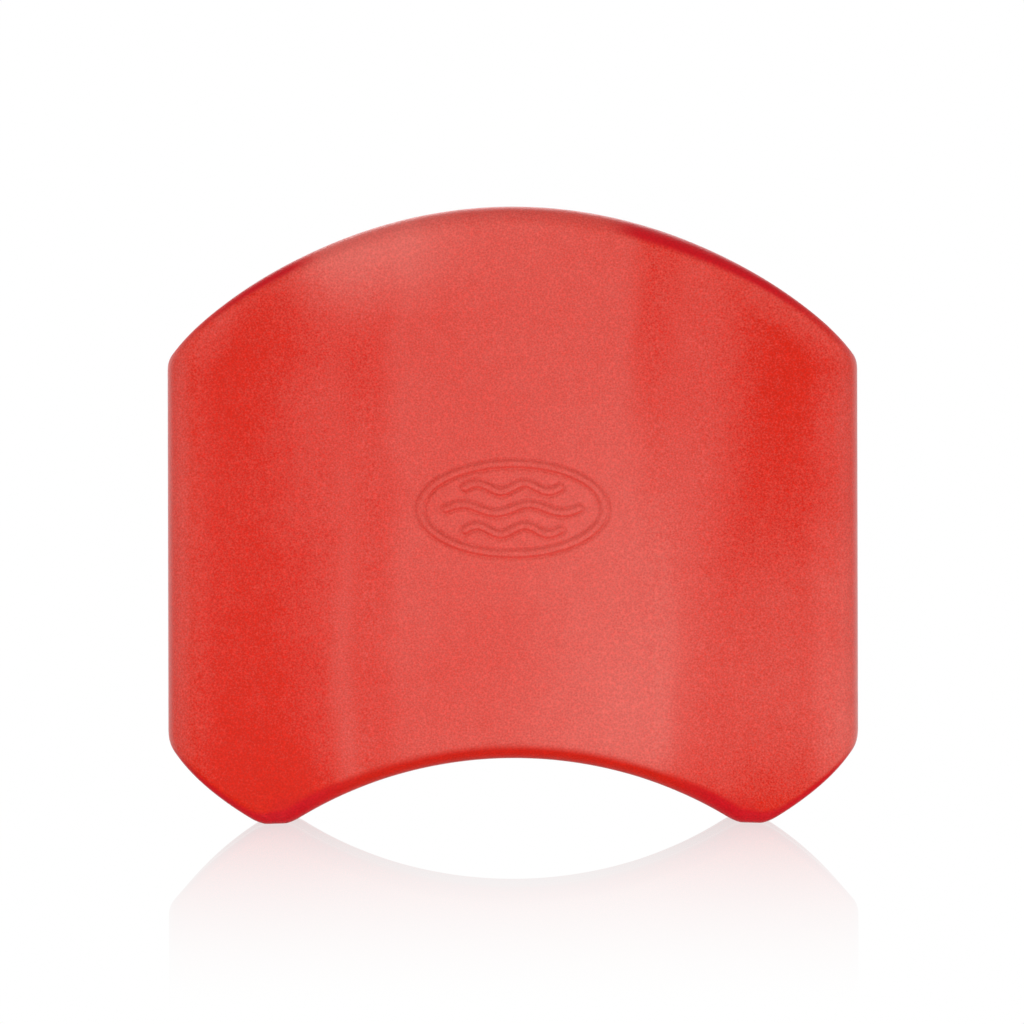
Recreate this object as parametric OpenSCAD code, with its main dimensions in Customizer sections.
// Swim pull-kick board: a thick foam board that a swimmer grips between the thighs or holds
// in both hands. Three foam layers are bonded face to face: a flat core sheet between two
// sculpted outer layers that are thin at the waist and thick along both sides.
// The board stands on its two feet. X runs across it, Y through it and Z up. The origin is
// on the floor, midway between the feet and midway through the thickness. The front is -Y.

/* [Outline] */
// Width from side to side
board_w = 280; // [272:1:288]
// Height from the feet to the crown
board_h = 250; // [240:1:260]
// Radius of the arc along the crown
crown_r = 186; // [180:1:200]
// Radius where the crown turns into a side
shoulder_r = 9; // [7:0.5:12]
// Radius where a side turns in towards its foot
hip_r = 13.5; // [12:0.5:18]
// Height of the centre of the hip radius
hip_z = 38.5; // [37:0.5:40]
// Radius of the long arc from a hip to its foot
haunch_r = 140; // [130:1:150]
// Radius of a foot
foot_r = 18; // [17:0.5:20]
// Distance from a side in to the middle of its foot
foot_inset = 44; // [42:0.5:46]
// Width of the flat that each foot rests on
foot_flat = 8; // [6:0.5:12]
// Height of the hollow between the feet
cutout_h = 25.7; // [24:0.1:28]

/* [Thickness] */
// Thickness across the flat waist
waist_t = 36; // [34:0.5:40]
// Thickness at the thickest line of each side
lobe_t = 54; // [50:0.5:58]
// Thickness of the flat core sheet
core_t = 16; // [10:0.5:16]
// Height of the low step that borders the waist
step_h = 0.6; // [0.2:0.1:1]
// Radius of the rounded rim at the middle of the board
rim_mid = 9; // [8:0.25:9.5]
// Radius of the rounded rim where it reaches the sides
rim_side = 4; // [3:0.25:4.5]
// Radius that rounds each side from its thickest line to its outermost line
lobe_r = 14; // [12:0.25:14.5]

/* [Waist] */
// Half-width of the flat of the waist
waist_x = 50; // [46:1:54]
// Half-width at the outer edge of the low step
step_x = 66; // [62:1:70]
// Share of the flank over which its slope builds up
flank_ease_in = 0.5; // [0.2:0.05:0.5]
// Share of the flank over which its slope dies away
flank_ease_out = 0.1; // [0.1:0.05:0.4]

/* [Emblem] */
// Width of the raised oval
emblem_w = 77; // [60:1:84]
// Height of the raised oval
emblem_h = 39; // [30:1:44]
// Height of the middle of the oval above the floor
emblem_z = 127; // [110:1:140]
// Width of the raised lines
stroke = 2.6; // [2:0.1:3.2]
// Height of the raised lines above the face
relief = 0.8; // [0.4:0.1:1.2]
// Height of each wave from its middle line
wave_a = 1.7; // [1:0.1:2.2]

/* [Hidden] */

foam_front = "#d8402f";
foam_core = "#c93626";
foam_back = "#d8402f";

// Outline centres, right half
crown_z = board_h - crown_r;
shoulder_x = board_w / 2 - shoulder_r;
shoulder_z = crown_z + sqrt(pow(crown_r - shoulder_r, 2) - pow(shoulder_x, 2));
hip_x = board_w / 2 - hip_r;
foot_x = board_w / 2 - foot_inset;
foot_z = sqrt(pow(foot_r, 2) - pow(foot_flat / 2, 2));

// The cutout arc touches both foot circles from outside
foot_drop = foot_z - cutout_h;
cutout_r = (pow(foot_x, 2) + pow(foot_drop, 2) - pow(foot_r, 2)) / (2 * (foot_r - foot_drop));
cutout_z = cutout_h - cutout_r;

// The haunch arc touches the foot circle and the hip circle from around them
foot_to_hip = [hip_x - foot_x, hip_z - foot_z];
foot_hip_d = norm(foot_to_hip);
haunch_dir = foot_to_hip / foot_hip_d;
reach_foot = haunch_r - foot_r;
reach_hip = haunch_r - hip_r;
haunch_along = (pow(reach_foot, 2) - pow(reach_hip, 2) + pow(foot_hip_d, 2)) / (2 * foot_hip_d);
haunch_across = sqrt(pow(reach_foot, 2) - pow(haunch_along, 2));
haunch_x = foot_x + haunch_along * haunch_dir[0] - haunch_across * haunch_dir[1];
haunch_z = foot_z + haunch_along * haunch_dir[1] + haunch_across * haunch_dir[0];

// Angles from straight up or straight down at which one arc hands over to the next
crown_end = asin(shoulder_x / (crown_r - shoulder_r));
cutout_end = asin(foot_x / (cutout_r + foot_r));
foot_end = asin((foot_x - haunch_x) / reach_foot);
haunch_end = asin((hip_x - haunch_x) / reach_hip);

// Least straight wall between the core and the rounded rim
wall_min = 0.5;
// Rim radius at the sides, less where the rounded side leaves too little thickness for it
side_rim = min(rim_side, lobe_t / 2 - lobe_r - core_t / 2 - wall_min);
// Where the face ends and the side rim begins
face_x = board_w / 2 - side_rim;
// Thickest line of each side
lobe_x = board_w / 2 - lobe_r;
// Where the first of the curves that round off each side begins
corner_x = min(shoulder_x, hip_x, lobe_x);
// Half-width of the stretch around a foot that needs close stations
foot_span = 5;
rim_steps = 5;
side_steps = 10;
emblem_root = 1;
oval_fn = 72;
wave_steps = 24;
// Periods in a wave line
waves = 2;
// Half-length of each wave line as a share of the oval's width, and their spacing of its height
wave_half = [0.25 * emblem_w, 0.35 * emblem_w, 0.25 * emblem_w];
wave_gap = 0.22 * emblem_h;

function smooth(t) = let (c = min(max(t, 0), 1)) c * c * (3 - 2 * c);

// Rises from 0 to 1: the slope builds up over share a, holds, and dies away over share b
function ramp(t, a, b) =
    let (c = min(max(t, 0), 1), slope = 1 / (1 - (a + b) / 2))
    c < a ? slope * c * c / (2 * a)
    : c < 1 - b ? slope * (c - a / 2)
    : 1 - slope * pow(1 - c, 2) / (2 * b);

// How far the rounded side has dropped from its thickest line
function lobe_drop(x) =
    let (over = min(max(abs(x) - lobe_x, 0), lobe_r))
    lobe_r - sqrt(pow(lobe_r, 2) - pow(over, 2));

function half_t(x) =
    let (flank = (lobe_t - waist_t) / 2 - step_h)
    waist_t / 2
    + step_h * smooth((abs(x) - waist_x) / (step_x - waist_x))
    + flank * ramp((abs(x) - step_x) / (lobe_x - step_x), flank_ease_in, flank_ease_out)
    - lobe_drop(x);

// The rim never takes the whole thickness: a straight wall of wall_min is left beside the core
function rim_r(x) =
    let (wanted = rim_mid + (side_rim - rim_mid) * smooth((abs(x) - waist_x) / (face_x - waist_x)))
    min(wanted, half_t(x) - core_t / 2 - wall_min);

function spans(a, b, n) = [for (i = [0:n - 1]) a + (b - a) * i / n];

// Stations across the right half of the face; the last ones bunch up round the corners
half_stations = concat(
    spans(0, waist_x, 8),
    spans(waist_x, step_x, 8),
    spans(step_x, foot_x - foot_span, 6),
    spans(foot_x - foot_span, foot_x + foot_span, 16),
    spans(foot_x + foot_span, corner_x, 7),
    [for (i = [0:side_steps]) corner_x + (face_x - corner_x) * sin(90 * i / side_steps)]
);
last = len(half_stations) - 1;
stations = concat([for (i = [last:-1:1]) -half_stations[i]], half_stations);

// Point on an arc about c of radius r, at angle a from straight up (up = 1) or down (up = -1)
function on_arc(c, r, a, up) = [c[0] + r * sin(a), c[1] + up * r * cos(a)];

// Angle at which an arc of radius r about cx reaches x: a right angle where it ends short of x
function angle_at(x, cx, r) = asin(max(-1, min((x - cx) / r, 1)));

// Outline point above face station x, moved d inwards from the edge; x is not negative
function top_right(x, d) =
    let (r = rim_r(x), crown_a = angle_at(x, 0, crown_r - r))
    crown_a <= crown_end ? on_arc([0, crown_z], crown_r - d, crown_a, 1)
    : on_arc([shoulder_x, shoulder_z], shoulder_r - d, angle_at(x, shoulder_x, shoulder_r - r), 1);

// Outline point below face station x, moved d inwards from the edge; x is not negative
function bottom_right(x, d) =
    let (
        r = rim_r(x),
        cut_a = angle_at(x, 0, cutout_r + r),
        foot_a = angle_at(x, foot_x, foot_r - r),
        haunch_a = angle_at(x, haunch_x, haunch_r - r),
        foot_p = on_arc([foot_x, foot_z], foot_r - d, foot_a, -1)
    )
    cut_a <= cutout_end ? on_arc([0, cutout_z], cutout_r + d, cut_a, 1)
    : foot_a <= foot_end ? [foot_p[0], max(foot_p[1], d)]
    : haunch_a <= haunch_end ? on_arc([haunch_x, haunch_z], haunch_r - d, haunch_a, -1)
    : on_arc([hip_x, hip_z], hip_r - d, angle_at(x, hip_x, hip_r - r), -1);

function sided(p, x) = [x < 0 ? -p[0] : p[0], p[1]];

// Share of its station's rim radius that each ring is set in, and how far round the rim it is
ring_in = [for (k = [0:rim_steps]) 1 - cos(90 * k / rim_steps)];
ring_out = [for (k = [0:rim_steps]) sin(90 * k / rim_steps)];

// Closed outline at share s of the rim radius: the crown left to right, then back underneath
function ring_outline(s) = concat(
    [for (x = stations) sided(top_right(abs(x), s * rim_r(x)), x)],
    [for (i = [len(stations) - 1:-1:0])
        let (x = stations[i]) sided(bottom_right(abs(x), s * rim_r(x)), x)]
);

// Depth from the middle of the board at point i of a closed ring, k steps round the rim
function ring_depth(line, i, k) =
    let (x = stations[min(i, len(line) - 1 - i)])
    half_t(line[i][0]) - rim_r(x) * (1 - ring_out[k]);

// Outer foam layer on the front side, from the bonded face out to the sculpted face
module sculpted_layer() {
    count = len(stations);
    loop = 2 * count;
    base = [for (p = ring_outline(0)) [p[0], -core_t / 2, p[1]]];
    rings = [
        for (k = [0:rim_steps])
            let (line = ring_outline(ring_in[k]))
            [for (i = [0:loop - 1]) [line[i][0], -ring_depth(line, i, k), line[i][1]]]
    ];
    points = concat(base, [for (ring = rings) each ring]);
    walls = [
        for (k = [0:rim_steps], i = [0:loop - 1])
            let (j = (i + 1) % loop, a = k * loop, b = a + loop)
            each [[a + i, a + j, b + j], [a + i, b + j, b + i]]
    ];
    outer = (rim_steps + 1) * loop;
    face = [
        for (i = [0:count - 2])
            [outer + i, outer + i + 1, outer + loop - 2 - i, outer + loop - 1 - i]
    ];
    bond = [
        for (i = [0:count - 2])
            [i, loop - 1 - i, loop - 2 - i, i + 1]
    ];
    polyhedron(points, concat(walls, face, bond), convexity = 4);
}

// One raised wave line with round ends, drawn about its own middle
module wave_line(half) {
    step = 2 * half / wave_steps;
    crest = [for (i = [0:wave_steps]) [i * step - half, wave_a * sin(360 * waves * i / wave_steps)]];
    upper = [for (p = crest) [p[0], p[1] + stroke / 2]];
    lower = [for (i = [wave_steps:-1:0]) [crest[i][0], crest[i][1] - stroke / 2]];
    polygon(concat(upper, lower));
    for (side = [-1, 1])
        translate([side * half, 0])
            circle(d = stroke, $fn = 24);
}

function oval(w, h) = [
    for (i = [0:oval_fn - 1])
        let (turn = 360 * i / oval_fn) [w / 2 * cos(turn), h / 2 * sin(turn)]
];

// Raised oval ring with three waves inside it
module emblem() {
    translate([0, -waist_t / 2 + emblem_root, emblem_z])
        rotate([90, 0, 0])
            linear_extrude(emblem_root + relief) {
                difference() {
                    polygon(oval(emblem_w, emblem_h));
                    polygon(oval(emblem_w - 2 * stroke, emblem_h - 2 * stroke));
                }
                for (i = [0:2])
                    translate([0, (1 - i) * wave_gap])
                        wave_line(wave_half[i]);
            }
}

module front_layer() {
    color(foam_front) {
        sculpted_layer();
        emblem();
    }
}

module core_layer() {
    color(foam_core)
        translate([0, core_t / 2, 0])
            rotate([90, 0, 0])
                linear_extrude(core_t)
                    polygon(ring_outline(0));
}

module back_layer() {
    color(foam_back)
        mirror([0, 1, 0])
            sculpted_layer();
}

front_layer();
core_layer();
back_layer();
